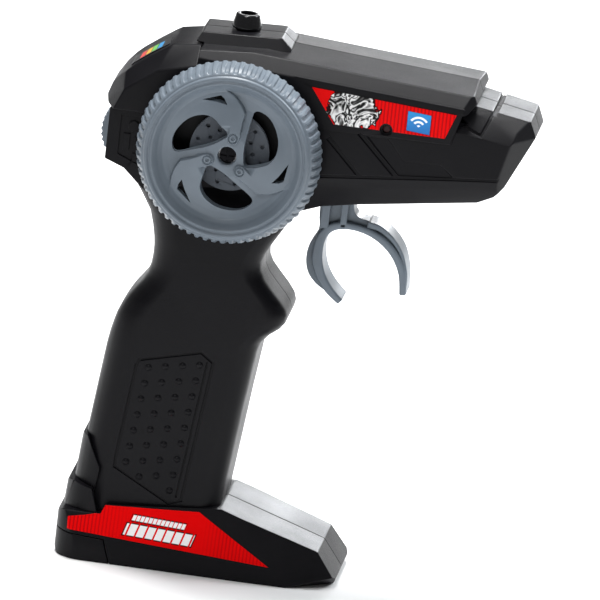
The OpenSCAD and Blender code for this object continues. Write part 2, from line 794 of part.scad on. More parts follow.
module trigger() {
  color(wheel_grey) difference() {
    union() {
      side_plate(concat(smooth(trigger_outer_rear), smooth(trigger_inner_rear),
                        smooth(trigger_inner_front), smooth(trigger_outer_front)),
                 -trigger_w / 2, trigger_w / 2);
      bar_y(pivot, 5.1, -trigger_w / 2, trigger_w / 2);
    }
    bar_y(pivot, 1.56, -20, 20);
  }
}

// ---------- trim dial and battery door ----------

module trim_dial() {
  teeth = 40;
  color(wheel_grey) union() {
    translate([dial_at[0], 3, dial_at[1]]) rotate([90, 0, 0]) linear_extrude(6)
      polygon([for (i = [0 : 2 * teeth - 1])
        let (r = dial_d / 2 - (i % 2) * 0.5, turn = i * 180 / teeth)
        [r * cos(turn), r * sin(turn)]]);
    bar_y(dial_at, 2, -6.5, 8.5);
  }
}

module battery_door() {
  color(shell_black) difference() {
    union() {
      intersection() {
        base_solid();
        side_plate(door_region, -40, 40);
      }
      translate([-30, -door_plate_half, 0])
        cube([30 + door_plate_x, 2 * door_plate_half, door_plate_t]);
    }
    side_plate([[-41.2, door_plate_t], [-41.2, 40], [40, 40], [40, door_plate_t]], -17, 17);
    for (i = [0 : 3]) translate([4 + 1.8 * i, -5, -1]) cube([0.9, 10, 1.5]);
  }
}

right_shell();
left_shell();
rear_hood();
antenna_post();
right_head_label();
left_head_label();
head_badges();
right_base_label();
left_base_label();
hood_label();
shell_screws();
power_led();
wheel_bush();
steering_pot();
steering_spring();
trigger_pin();
throttle_pot();
trigger_spring();
trim_pot();
circuit_board();
board_chips();
antenna_wire();
battery_wires();
switch_body();
cell_right();
cell_left();
cell_springs();
cell_plates();
wheel_rim();
brake_disc();
steering_shaft();
wheel_screw();
trigger();
trim_dial();
switch_slider();
battery_door();
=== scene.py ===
"""Pistol-grip radio transmitter: looks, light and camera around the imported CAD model."""
import json
import math

import bmesh
import bpy
import numpy as np
from mathutils import Matrix, Vector


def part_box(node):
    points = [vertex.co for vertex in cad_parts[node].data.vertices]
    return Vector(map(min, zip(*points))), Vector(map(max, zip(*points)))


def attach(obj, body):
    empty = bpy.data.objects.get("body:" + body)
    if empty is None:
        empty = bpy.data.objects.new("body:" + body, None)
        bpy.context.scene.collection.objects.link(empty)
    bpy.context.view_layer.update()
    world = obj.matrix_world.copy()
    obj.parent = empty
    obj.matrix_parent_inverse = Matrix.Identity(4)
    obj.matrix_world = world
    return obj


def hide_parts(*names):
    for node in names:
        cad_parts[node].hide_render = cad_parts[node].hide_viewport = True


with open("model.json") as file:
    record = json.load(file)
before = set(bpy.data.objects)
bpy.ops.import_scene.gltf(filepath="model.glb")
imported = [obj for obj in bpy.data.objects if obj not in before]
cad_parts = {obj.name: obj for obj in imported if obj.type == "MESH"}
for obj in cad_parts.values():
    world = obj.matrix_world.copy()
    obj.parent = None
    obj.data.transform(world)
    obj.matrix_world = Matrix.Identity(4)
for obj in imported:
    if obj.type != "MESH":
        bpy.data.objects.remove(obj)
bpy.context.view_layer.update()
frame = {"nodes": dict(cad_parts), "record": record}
MM = 0.001

# ---------- camera ----------

VIEW_AZIMUTH = math.radians(5.65)  # the camera stands this far round towards the nose
VIEW_ELEVATION = math.radians(15.3)
VIEW_ROLL = math.radians(6.3)  # the object leans clockwise in the picture
CAMERA_DISTANCE = 6.005
LENS = 1200
AIM_RIGHT = 0.0296  # from the frame's origin to the middle of the picture
AIM_UP = 0.0769


def add_camera():
    ca, sa = math.cos(VIEW_AZIMUTH), math.sin(VIEW_AZIMUTH)
    ce, se = math.cos(VIEW_ELEVATION), math.sin(VIEW_ELEVATION)
    right0 = Vector((ca, sa, 0))
    up0 = Vector((-sa * se, ca * se, ce))
    away = Vector((-sa * ce, ca * ce, -se))
    right = right0 * math.cos(VIEW_ROLL) + up0 * math.sin(VIEW_ROLL)
    up = up0 * math.cos(VIEW_ROLL) - right0 * math.sin(VIEW_ROLL)
    place = right * AIM_RIGHT + up * AIM_UP - away * CAMERA_DISTANCE
    data = bpy.data.cameras.new("camera")
    data.lens = LENS
    data.clip_end = 50
    camera = bpy.data.objects.new("camera", data)
    turn = Matrix((right, up, -away)).transposed().to_4x4()
    camera.matrix_world = Matrix.Translation(place) @ turn
    bpy.context.scene.collection.objects.link(camera)
    bpy.context.scene.camera = camera


# ---------- node helpers ----------


def new_material(name, color, roughness, **inputs):
    """A Principled material whose constant values sit on the shader's own sockets."""
    material = bpy.data.materials.new(name)
    material.use_nodes = True
    shader = material.node_tree.nodes["Principled BSDF"]
    shader.inputs["Base Color"].default_value = (*color, 1)
    shader.inputs["Roughness"].default_value = roughness
    for key, value in inputs.items():
        shader.inputs[key.replace("_", " ")].default_value = value
    return material


class Nodes:
    """Short ways to add and join nodes in one material."""

    def __init__(self, material):
        self.tree = material.node_tree
        self.shader = self.tree.nodes["Principled BSDF"]

    def add(self, kind, **settings):
        node = self.tree.nodes.new(kind)
        for key, value in settings.items():
            setattr(node, key, value)
        return node

    def feed(self, source, target):
        """source is a socket or a number; target is an input socket."""
        if isinstance(source, (int, float)):
            target.default_value = source
        else:
            self.tree.links.new(source, target)

    def coords(self):
        return self.add("ShaderNodeTexCoord").outputs["Object"]

    def axes(self):
        split = self.add("ShaderNodeSeparateXYZ")
        self.feed(self.coords(), split.inputs[0])
        return split.outputs["X"], split.outputs["Y"], split.outputs["Z"]

    def noise(self, scale, detail=2.0, rough=0.5, vector=None):
        node = self.add("ShaderNodeTexNoise")
        node.inputs["Scale"].default_value = scale
        node.inputs["Detail"].default_value = detail
        node.inputs["Roughness"].default_value = rough
        self.feed(vector or self.coords(), node.inputs["Vector"])
        return node.outputs["Fac"]

    def math(self, operation, a, b=0.0, c=0.0):
        node = self.add("ShaderNodeMath", operation=operation)
        for socket, value in zip(node.inputs, (a, b, c)):
            self.feed(value, socket)
        return node.outputs[0]

    def ramp(self, fac, low, high):
        """0 at low and 1 at high, clamped."""
        node = self.add("ShaderNodeMapRange")
        node.inputs["From Min"].default_value = low
        node.inputs["From Max"].default_value = high
        self.feed(fac, node.inputs["Value"])
        return node.outputs["Result"]

    def mix(self, fac, a, b):
        """Colours a and b, as tuples or sockets, mixed by fac."""
        node = self.add("ShaderNodeMix", data_type="RGBA")
        self.feed(fac, node.inputs["Factor"])
        for value, socket in ((a, node.inputs["A"]), (b, node.inputs["B"])):
            if isinstance(value, tuple):
                socket.default_value = (*value, 1)
            else:
                self.feed(value, socket)
        return node.outputs["Result"]

    def color(self, socket):
        self.feed(socket, self.shader.inputs["Base Color"])

    def roughness(self, fac, low, high):
        node = self.add("ShaderNodeMapRange")
        node.inputs["To Min"].default_value = low
        node.inputs["To Max"].default_value = high
        self.feed(fac, node.inputs["Value"])
        self.feed(node.outputs["Result"], self.shader.inputs["Roughness"])

    def bump(self, height, strength, distance=0.0001):
        node = self.add("ShaderNodeBump")
        node.inputs["Strength"].default_value = strength
        node.inputs["Distance"].default_value = distance
        self.feed(height, node.inputs["Height"])
        self.feed(node.outputs["Normal"], self.shader.inputs["Normal"])

    def inside(self, value, low, high):
        """1 where value lies between low and high."""
        over = self.math("GREATER_THAN", value, low)
        under = self.math("LESS_THAN", value, high)
        return self.math("MULTIPLY", over, under)


# ---------- materials ----------

LABEL_SPLIT = 0.06  # base labels lie below this height, head labels above


def shell_plastic():
    """Black moulded plastic with a fine texture that glitters where light grazes it."""
    material = new_material(
        "shell_black", (0.0035, 0.0034, 0.0044), 0.42, Specular_IOR_Level=0.12
    )
    n = Nodes(material)
    fine = n.noise(4200, 2, 0.6)
    coarse = n.noise(60, 3, 0.55)
    n.color(n.mix(coarse, (0.002, 0.0019, 0.0028), (0.004, 0.0038, 0.0052)))
    blend = n.math("ADD", n.math("MULTIPLY", fine, 0.55), n.math("MULTIPLY", coarse, 0.45))
    n.roughness(n.ramp(blend, 0.3, 0.7), 0.3, 0.5)
    n.bump(fine, 0.35, 0.0001)
    return material


def gloss_black():
    material = new_material("post_black", (0.004, 0.004, 0.005), 0.12)
    n = Nodes(material)
    n.roughness(n.noise(90, 3), 0.07, 0.2)
    n.bump(n.noise(500, 2), 0.04)
    return material


def grey_plastic(name, low, high, rough):
    material = new_material(name, high, rough, Specular_IOR_Level=0.26)
    n = Nodes(material)
    cloud = n.noise(45, 4, 0.6)
    fine = n.noise(1800, 2, 0.5)
    n.color(n.mix(n.ramp(cloud, 0.35, 0.65), low, high))
    n.roughness(cloud, rough - 0.06, rough + 0.1)
    n.bump(n.math("ADD", fine, n.math("MULTIPLY", cloud, 0.4)), 0.1)
    return material


def stripes(n, x, pitch, share):
    """1 on thin lines that repeat along x."""
    return n.math("LESS_THAN", n.math("FRACT", n.math("DIVIDE", x, pitch)), share)


def band(n, value, center, half, soft=0.00008):
    """1 within half of center, with a soft edge."""
    off = n.math("ABSOLUTE", n.math("SUBTRACT", value, center))
    return n.math("SUBTRACT", 1.0, n.ramp(off, half - soft, half + soft))


def block_row(n, x, z, center_x, half_x, center_z, half_z, pitch):
    """A slanted row of plain blocks, standing where the print is."""
    z = n.math("ADD", z, n.math("MULTIPLY", n.math("SUBTRACT", x, center_x), 0.05))
    lean = n.math("SUBTRACT", x, n.math("MULTIPLY", n.math("SUBTRACT", z, center_z), 0.3))
    row = n.math("MULTIPLY", band(n, lean, center_x, half_x), band(n, z, center_z, half_z))
    phase = n.math("FRACT", n.math("DIVIDE", n.math("ADD", lean, 1.0), pitch))
    return n.math("MULTIPLY", row, n.math("GREATER_THAN", phase, 0.2))


def pinstripes(n, x, on_base, on_head, red):
    """Darker lines that fade in at the base label's two ends and the head label's front."""
    rear = n.math("MULTIPLY", on_base, n.ramp(x, -0.020, -0.034))
    tip = n.math("MULTIPLY", on_base, n.ramp(x, 0.001, 0.008))
    front = n.math("MULTIPLY", on_head, n.ramp(x, 0.036, 0.042))
    amount = n.math("MAXIMUM", rear, n.math("MAXIMUM", n.math("MULTIPLY", tip, 0.6), front))
    line = stripes(n, x, 0.0011, 0.4)
    amount = n.math("MULTIPLY", n.math("MULTIPLY", line, amount), 0.72)
    return n.mix(amount, red, (0.3, 0.002, 0.004))


def base_blocks(n, x, z, on_base, color):
    """A thin and a thick row of plain white blocks with a dark edge."""
    margin = 0.0004
    thin_row = (-0.0118, 0.0080, 0.0143, 0.0008, 0.00125)
    thick_row = (-0.0113, 0.0103, 0.0107, 0.0017, 0.00275)
    for center_x, half_x, center_z, half_z, pitch in (thin_row, thick_row):
        edge = block_row(
            n, x, z, center_x, half_x + margin, center_z, half_z + margin, pitch
        )
        face = block_row(n, x, z, center_x, half_x, center_z, half_z, pitch)
        color = n.mix(n.math("MULTIPLY", edge, on_base), color, (0.05, 0.002, 0.003))
        color = n.mix(n.math("MULTIPLY", face, on_base), color, (0.86, 0.86, 0.86))
    return color


def swirled_silver(n):
    """Flowing silver and black lines."""
    swirl = n.add("ShaderNodeTexNoise")
    swirl.inputs["Scale"].default_value = 210
    swirl.inputs["Detail"].default_value = 2.5
    swirl.inputs["Distortion"].default_value = 1.3
    n.feed(n.coords(), swirl.inputs["Vector"])
    silver = n.add("ShaderNodeValToRGB")
    tones = [(0.0, 0.6), (0.3, 0.01), (0.36, 0.015), (0.4, 0.45), (0.44, 0.85), (0.47, 0.3),
             (0.485, 0.01), (0.52, 0.01), (0.55, 0.6), (0.59, 0.9), (0.63, 0.06), (1.0, 0.01)]
    steps = silver.color_ramp.elements
    for place, tone in tones[1:-1]:
        steps.new(place)
    for step, (place, tone) in zip(steps, tones):
        step.position = place
        step.color = (tone, tone, tone, 1)
    n.feed(swirl.outputs["Fac"], silver.inputs["Fac"])
    return silver.outputs["Color"]


def silver_patch(n, x, z, on_head, color):
    """A ragged patch of swirled silver and black in the rear third of the head's label."""
    low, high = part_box("right_head_label")
    center_x = low.x + (high.x - low.x) * 0.295
    center_z = low.z + (high.z - low.z) * 0.5
    half_long, half_high = 0.0078, 0.0064
    dx = n.math("DIVIDE", n.math("SUBTRACT", x, center_x), half_long)
    dz = n.math("DIVIDE", n.math("SUBTRACT", z, center_z), half_high)
    reach = n.math("ADD", n.math("MULTIPLY", dx, dx), n.math("MULTIPLY", dz, dz))
    ragged = n.math("ADD", reach, n.math("MULTIPLY", n.noise(520, 2, 0.6), 1.5))
    field = n.math("MULTIPLY", n.math("LESS_THAN", ragged, 1.6), on_head)
    rim = n.math("MULTIPLY", n.math("LESS_THAN", ragged, 1.78), on_head)
    color = n.mix(rim, color, (0.02, 0.003, 0.004))
    return n.mix(field, color, swirled_silver(n))


def label_red():
    """Printed red film: pinstripes, plain slanted blocks and a swirled silver patch."""
    material = new_material("label_red", (0.66, 0.002, 0.003), 0.4, Specular_IOR_Level=0.05)
    n = Nodes(material)
    x, _, z = n.axes()
    red = n.mix(n.noise(80, 2), (0.66, 0.001, 0.0015), (0.74, 0.0015, 0.002))
    on_base = n.math("LESS_THAN", z, LABEL_SPLIT)
    on_head = n.math("SUBTRACT", 1.0, on_base)
    color = pinstripes(n, x, on_base, on_head, red)
    color = base_blocks(n, x, z, on_base, color)
    color = silver_patch(n, x, z, on_head, color)
    n.color(color)
    n.roughness(n.noise(300, 2), 0.25, 0.36)
    n.bump(n.noise(900, 2), 0.03)
    return material


def plain(name, color, rough, scale=60, **inputs):
    """A finish with slight cloudiness, for small parts."""
    material = new_material(name, color, rough, **inputs)
    n = Nodes(material)
    cloud = n.noise(scale, 3)
    darker = tuple(c * 0.75 for c in color)
    n.color(n.mix(n.ramp(cloud, 0.3, 0.7), darker, color))
    n.roughness(cloud, max(rough - 0.08, 0.03), rough + 0.08)
    n.bump(n.noise(scale * 12, 2), 0.08)
    return material


def badge_blue():
    """Blue printed square with three plain arcs."""
    material = new_material("label_blue", (0.01, 0.16, 0.5), 0.3, Specular_IOR_Level=0.25)
    n = Nodes(material)
    x, _, z = n.axes()
    low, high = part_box("head_badges")
    cx, cz = (low.x + high.x) / 2, low.z + (high.z - low.z) * 0.3
    dx = n.math("SUBTRACT", x, cx)
    dz = n.math("SUBTRACT", z, cz)
    r = n.math("SQRT", n.math("ADD", n.math("MULTIPLY", dx, dx), n.math("MULTIPLY", dz, dz)))
    upward = n.math("GREATER_THAN", dz, n.math("MULTIPLY", n.math("ABSOLUTE", dx), 0.75))
    arcs = n.math("LESS_THAN", n.math("FRACT", n.math("DIVIDE", r, 0.0013)), 0.5)
    arcs = n.math("MULTIPLY", arcs, n.inside(r, 0.0, 0.0039))
    blue = n.mix(n.ramp(z, low.z, high.z), (0.01, 0.13, 0.42), (0.02, 0.26, 0.62))
    n.color(n.mix(n.math("MULTIPLY", arcs, upward), blue, (0.85, 0.9, 0.95)))
    n.roughness(n.noise(300, 2), 0.2, 0.32)
    return material


def rainbow():
    """Equal plain colour bands across black film."""
    material = new_material("label_rainbow", (0.8, 0.6, 0.05), 0.3, Specular_IOR_Level=0.2)
    n = Nodes(material)
    x, y, _ = n.axes()
    black = (0.004, 0.004, 0.005)
    low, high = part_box("hood_label")
    u = n.math("DIVIDE", n.math("SUBTRACT", x, low.x), high.x - low.x)
    v = n.math("DIVIDE", n.math("SUBTRACT", y, low.y), high.y - low.y)
    tones = [(0.5, 0.03, 0.02), (0.5, 0.3, 0.02), (0.1, 0.35, 0.06), (0.02, 0.2, 0.42)]
    first, pitch, width = 0.2, 0.15, 0.13  # as shares of the label's length
    color = black
    for count, tone in enumerate(tones):
        start = first + pitch * count
        area = n.math("MULTIPLY", n.inside(u, start, start + width), n.inside(v, 0.15, 0.85))
        color = n.mix(area, color, tone)
    n.color(color)
    n.roughness(n.noise(300, 2), 0.25, 0.4)
    return material


def make_materials():
    steel = dict(Metallic=1.0)
    return {
        "shell_black": shell_plastic(),
        "post_black": gloss_black(),
        "wheel_grey": grey_plastic("wheel_grey", (0.11, 0.133, 0.158), (0.133, 0.16, 0.19), 0.33),
        "disc_grey": grey_plastic("disc_grey", (0.06, 0.07, 0.085), (0.08, 0.092, 0.11), 0.45),
        "label_red": label_red(),
        "label_blue": badge_blue(),
        "label_rainbow": rainbow(),
        "led_red": plain("led_red", (0.035, 0.001, 0.001), 0.3, Specular_IOR_Level=0.2),
        "steel": plain("steel", (0.55, 0.55, 0.57), 0.25, 200, **steel),
        "black_steel": plain("black_steel", (0.008, 0.008, 0.009), 0.25, 200, **steel),
        "pot_blue": plain("pot_blue", (0.03, 0.07, 0.3), 0.35),
        "board_green": plain("board_green", (0.01, 0.12, 0.04), 0.35),
        "chip_black": plain("chip_black", (0.015, 0.015, 0.017), 0.5),
        "wire_black": plain("wire_black", (0.012, 0.012, 0.012), 0.5),
        "wire_red": plain("wire_red", (0.4, 0.01, 0.01), 0.45),
        "cell_wrap": plain("cell_wrap", (0.03, 0.2, 0.08), 0.3),
    }


# ---------- CAD nodes that stay ----------

BEVEL = {
    "right_shell": 0.00035, "left_shell": 0.00035, "rear_hood": 0.0005,
    "battery_door": 0.0003, "antenna_post": 0.00025, "trim_dial": 0.00015,
}
SMALL_BEVEL = 0.0001
SHARP = math.radians(28)
FINE_BEVEL_CUT = 0.75  # share of the bevel taken off where the detail is fine


def finish_node(node, bevel):
    """Welds the CAD faces, merges flat ones and rounds the sharp edges, all as modifiers."""
    weld = node.modifiers.new("weld", "WELD")
    weld.merge_threshold = 1e-6
    flat = node.modifiers.new("flat", "DECIMATE")
    flat.decimate_type = "DISSOLVE"
    flat.angle_limit = math.radians(0.6)
    split = node.modifiers.new("split", "TRIANGULATE")
    split.min_vertices = 9
    mark = node.modifiers.new("mark", "NODES")
    mark.node_group = convex_weights()
    edge = node.modifiers.new("edge", "BEVEL")
    edge.width = bevel
    edge.segments = 2
    edge.limit_method = "WEIGHT"
    edge.use_clamp_overlap = False
    edge.harden_normals = False
    for face in node.data.polygons:
        face.use_smooth = True
    smooth_by_angle(node, SHARP)
    keep_flat(node)


def keep_flat(piece):
    """Large faces decide the shading normals, so a rounded edge leaves the flat beside it even."""
    even = piece.modifiers.new("even", "WEIGHTED_NORMAL")
    even.mode = "FACE_AREA"
    even.weight = 90
    even.keep_sharp = True


def convex_weights():
    """Geometry nodes that give outward sharp edges a bevel weight, less in fine detail."""
    name = "convex_weights"
    group = bpy.data.node_groups.get(name)
    if group:
        return group
    group = bpy.data.node_groups.new(name, "GeometryNodeTree")
    group.interface.new_socket("Geometry", in_out="INPUT", socket_type="NodeSocketGeometry")
    group.interface.new_socket("Geometry", in_out="OUTPUT", socket_type="NodeSocketGeometry")
    new, link = group.nodes.new, group.links.new

    def maths(operation, a, b):
        node = new("ShaderNodeMath")
        node.operation = operation
        for socket, value in zip(node.inputs, (a, b)):
            if isinstance(value, (int, float)):
                socket.default_value = value
            else:
                link(value, socket)
        return node.outputs[0]

    start, end = new("NodeGroupInput"), new("NodeGroupOutput")
    turn = new("GeometryNodeInputMeshEdgeAngle")
    place = new("ShaderNodeSeparateXYZ")
    link(new("GeometryNodeInputPosition").outputs[0], place.inputs[0])
    x, y, z = place.outputs
    sharp = maths("GREATER_THAN", turn.outputs["Signed Angle"], SHARP)
    from_middle = maths("ABSOLUTE", y, 0)
    # the studded grip panel
    side = maths("GREATER_THAN", from_middle, 0.0145)
    panel = maths("MULTIPLY", maths("GREATER_THAN", z, 0.0185), maths("LESS_THAN", z, 0.07))
    # the relief on the sides of the rear block
    relief = maths("MULTIPLY", maths("LESS_THAN", x, -0.0215), maths("LESS_THAN", z, 0.138))
    relief = maths("MULTIPLY", relief, maths("GREATER_THAN", z, 0.119))
    relief = maths("MULTIPLY", relief, maths("GREATER_THAN", from_middle, 0.0138))
    fine = maths("MAXIMUM", maths("MULTIPLY", side, panel), relief)
    less = maths("MULTIPLY", fine, FINE_BEVEL_CUT)
    weight = maths("MULTIPLY", sharp, maths("SUBTRACT", 1.0, less))
    store = new("GeometryNodeStoreNamedAttribute")
    store.data_type = "FLOAT"
    store.domain = "EDGE"
    store.inputs["Name"].default_value = "bevel_weight_edge"
    link(start.outputs[0], store.inputs["Geometry"])
    link(weight, store.inputs["Value"])
    link(store.outputs[0], end.inputs[0])
    return group


def smooth_by_angle(piece, angle):
    """Shades the piece smooth and keeps edges sharper than the angle sharp."""
    name = f"smooth_by_angle_{round(math.degrees(angle))}"
    group = bpy.data.node_groups.get(name)
    if group is None:
        group = bpy.data.node_groups.new(name, "GeometryNodeTree")
        group.interface.new_socket("Geometry", in_out="INPUT", socket_type="NodeSocketGeometry")
        group.interface.new_socket("Geometry", in_out="OUTPUT", socket_type="NodeSocketGeometry")
        start = group.nodes.new("NodeGroupInput")
        end = group.nodes.new("NodeGroupOutput")
        turn = group.nodes.new("GeometryNodeInputMeshEdgeAngle")
        over = group.nodes.new("FunctionNodeCompare")
        over.data_type = "FLOAT"
        over.operation = "LESS_THAN"
        over.inputs[1].default_value = angle
        faces = group.nodes.new("GeometryNodeSetShadeSmooth")
        faces.domain = "FACE"
        edges = group.nodes.new("GeometryNodeSetShadeSmooth")
        edges.domain = "EDGE"
        link = group.links.new
        link(start.outputs[0], faces.inputs["Geometry"])
        link(faces.outputs[0], edges.inputs["Geometry"])
        link(turn.outputs["Unsigned Angle"], over.inputs[0])
        link(over.outputs[0], edges.inputs["Shade Smooth"])
        link(edges.outputs[0], end.inputs[0])
    modifier = piece.modifiers.new("smooth", "NODES")
    modifier.node_group = group


def dress_nodes(materials):
    slots = {s["node"]: s["material_slot"] for s in frame["record"]["subparts"]}
    for name, node in frame["nodes"].items():
        node.data.materials.clear()
        node.data.materials.append(materials[slots[name]])
        finish_node(node, BEVEL.get(name, SMALL_BEVEL))


# ---------- steering wheel ----------

SPOKES = 3
RIBS = 64


def smooth_step(value, low, high):
    t = np.clip((value - low) / (high - low), 0, 1)
    return t * t * (3 - 2 * t)


def spline_loop(points, steps):
    """Closed smooth loop (Catmull-Rom) through a few points."""
    p = np.array(points, float)
    n = len(p)
    out = []
    for i in range(n):
        a, b, c, d = p[i - 1], p[i], p[(i + 1) % n], p[(i + 2) % n]
        for t in np.linspace(0, 1, steps, endpoint=False):
            out.append(
                0.5 * (2 * b + (c - a) * t + (2 * a - 5 * b + 4 * c - d) * t**2
                       + (3 * b - a - 3 * c + d) * t**3)
            )
    return np.array(out)


def wheel_front_height(r, turn):
    """Height of the front face in mm ahead of the middle plane, at radius r and angle turn."""
    channel = np.interp(
        r, [0, 6.5, 9, 12, 15, 18, 19.6, 20.8, 21.6],
        [29.9, 29.8, 29.2, 28.3, 27.8, 28.0, 28.5, 29.8, 31.0]
    )
    petal = np.interp(
        r, [0, 6, 9, 12, 15, 17.5, 19.6, 20.8, 21.6],
        [30.9, 30.9, 30.6, 30.1, 29.6, 29.1, 28.9, 29.9, 31.0]
    )
    edge = np.interp(
        r, [0, 5, 7.6, 11.2, 14.2, 16.1, 18.1, 19.3, 20.5], [58, 60, 65, 71, 73, 80, 87.5, 93, 99]
    )
    spoke = 360 / SPOKES
    past = np.mod(turn - edge, spoke)
    near = np.minimum(past, spoke - past) * np.pi / 180 * r  # mm along the circle from the drop
    fall = 1 - smooth_step(past, 45, 112)
    side = np.where(past < spoke / 2, 1.0, -1.0)
    drop = smooth_step(side * near, -0.35, 0.3)
    share = np.where(near < 0.6, drop * fall, fall)
    boss_turn = np.mod(turn - 77 + 60, spoke) - 60
    bx = r * np.sin(np.radians(boss_turn))
    by = r * np.cos(np.radians(boss_turn)) - 5.9
    from_boss = np.hypot(bx, by)
    inside = np.where(by > 0, np.abs(bx), from_boss)  # rounded tip, straight sides outward
    tip = 1 - smooth_step(inside, 1.65, 2.05)
    inner = smooth_step(r, 7.4, 9.6)
    share = share * inner + tip * (1 - inner)
    height = channel + (petal - channel) * share
    height -= 0.45 * (smooth_step(from_boss, 1.0, 1.25) - smooth_step(from_boss, 1.3, 1.55))
    height -= 0.5 * (1 - smooth_step(from_boss, 0.35, 0.6))
    return height


def wheel_mesh(name, center):
    """One closed body of revolution with ribs and swirled spokes pressed into its front."""
    around = 12 * RIBS
    low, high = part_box("wheel_rim")
    top_r = (high.z - low.z) / 2 / MM
    front = -low.y / MM
    back = -high.y / MM
    outside = [(top_r - 1.5, back), (top_r - 1.2, back + 0.3), (top_r - 0.9, back + 1.6)]
    outside += [(top_r, back + 2.4)]
    outside += [(top_r - 0.2 * (w - back - 2.4), w) for w in np.linspace(back + 3, front - 3.6, 5)]
    outside += [
        (26.75, front - 3.0), (26.5, front - 2.4), (26.2, front - 1.9), (25.9, front - 1.5),
        (25.6, front - 1.2), (25.3, front - 1.0), (25.1, front - 0.92), (25.0, front - 0.9),
        (24.85, front - 0.75), (24.75, front - 0.4), (24.55, front - 0.1), (24.3, front),
        (24.0, front), (23.75, front - 0.15), (23.55, front - 0.5), (23.35, front - 0.65),
        (23.1, front - 0.65), (22.95, front - 0.55), (22.75, front - 0.42), (22.5, front - 0.42),
        (22.25, front - 0.6), (22.0, front - 0.95),
    ]
    web = [(r, None) for r in np.concatenate([np.arange(21.6, 3.0, -0.24), [3.0, 2.85]])]
    inside = [(2.8, 29.3), (2.8, 22.2), (4.6, 22.0), (4.6, 25.4), (17, 25.8), (23, 27.9),
              (24.6, 27.2), (25.2, 23), (25.3, back)]
    turn = np.arange(around) * 360 / around
    groove = smooth_step(np.cos(np.radians(turn * RIBS)), -0.45, 0.6)
    verts, rings = [], 0
    for r, w in outside + web + inside:
        radius = np.full(around, float(r))
        if w is None:
            height = wheel_front_height(radius, turn)
            if r < 3.2:
                height -= 0.25 * (3.2 - r) / 0.35
        else:
            height = np.full(around, float(w))
            if r > 25.35 and rings < len(outside):
                share = 1 - smooth_step(w, front - 2.4, front - 0.95)
                deep = np.interp(w, [back, back + 2.4, front - 3.6], [0.3, 0.35, 0.65])
                radius = radius - deep * groove * share
        angle = np.radians(turn)
        verts.append(np.stack([radius * np.cos(angle), -height, radius * np.sin(angle)], 1))
        rings += 1
    co = np.concatenate(verts) * MM + np.array([center.x, 0, center.z])
    i = np.arange(around)
    j = (i + 1) % around
    faces = []
    for k in range(rings):
        a, b = k * around, ((k + 1) % rings) * around
        faces.append(np.stack([a + i, a + j, b + j, b + i], 1))
    mesh = bpy.data.meshes.new(name)
    mesh.from_pydata(co.tolist(), [], np.concatenate(faces).tolist())
    mesh.update()
    bm = bmesh.new()
    bm.from_mesh(mesh)
    bmesh.ops.recalc_face_normals(bm, faces=bm.faces)
    bm.to_mesh(mesh)
    bm.free()
    return mesh


def prism_y(name, loops, y0, y1):
    """Closed prisms along Y over outlines given in X and Z, in metres."""
    bm = bmesh.new()
    for loop in loops:
        rings = [[bm.verts.new((x, y, z)) for x, z in loop] for y in (y0, y1)]
        bm.faces.new(rings[0])
        bm.faces.new(rings[1][::-1])
        count = len(loop)
        for i in range(count):
            j = (i + 1) % count
            bm.faces.new((rings[0][j], rings[0][i], rings[1][i], rings[1][j]))
    bmesh.ops.recalc_face_normals(bm, faces=bm.faces)
    mesh = bpy.data.meshes.new(name)
    bm.to_mesh(mesh)
    bm.free()
    return mesh


def new_piece(name, mesh, material):
    piece = bpy.data.objects.new(name, mesh)
    bpy.context.scene.collection.objects.link(piece)
    mesh.materials.append(material)
    for face in mesh.polygons:
        face.use_smooth = True
    return piece


def add_wheel(materials):
    low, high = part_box("wheel_rim")
    center = (low + high) / 2
    grey = materials["wheel_grey"]
    piece = new_piece("steering_wheel", wheel_mesh("steering_wheel", center), grey)
    opening = [(-15.4, -1.2), (-16.9, 1.4), (-16.2, 5.2), (-13.2, 9.3), (-9.4, 11.4), (-5.8, 11.4),
               (-2.8, 9.2), (-0.5, 6.4), (-2.6, 4.2), (-6.0, 2.2), (-10, 0.6)]
    slot = [(-9.2, 16.1), (-3.8, 18.1), (-2.6, 17.3), (-1.5, 15.5), (-4.4, 16.0)]
    loops = []
    for k in range(SPOKES):
        turn = math.radians(-360 / SPOKES * k)
        for points in (spline_loop(opening, 6), np.array(slot)):
            x = points[:, 0] * math.cos(turn) - points[:, 1] * math.sin(turn)
            z = points[:, 0] * math.sin(turn) + points[:, 1] * math.cos(turn)
            loops.append([(center.x + a * MM, center.z + b * MM) for a, b in zip(x, z)])
    cutter_front, cutter_back = -0.04, -0.0246
    prisms = prism_y("wheel_cutter", loops, cutter_front, cutter_back)
    cutter = new_piece("wheel_cutter", prisms, grey)
    cut = piece.modifiers.new("openings", "BOOLEAN")
    cut.operation = "DIFFERENCE"
    cut.solver = "MANIFOLD"
    cut.object = cutter
    bpy.context.view_layer.update()
    graph = bpy.context.evaluated_depsgraph_get()
    whole = bpy.data.meshes.new_from_object(piece.evaluated_get(graph))
    piece.modifiers.clear()
    piece.data = whole
    bpy.data.objects.remove(cutter)
    for face in piece.data.polygons:
        face.use_smooth = True
    smooth_by_angle(piece, math.radians(42))
    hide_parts("wheel_rim")
    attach(piece, "wheel")


# ---------- trigger ----------

BAR_STEP = 0.0007  # spacing of points along the flange and the rib


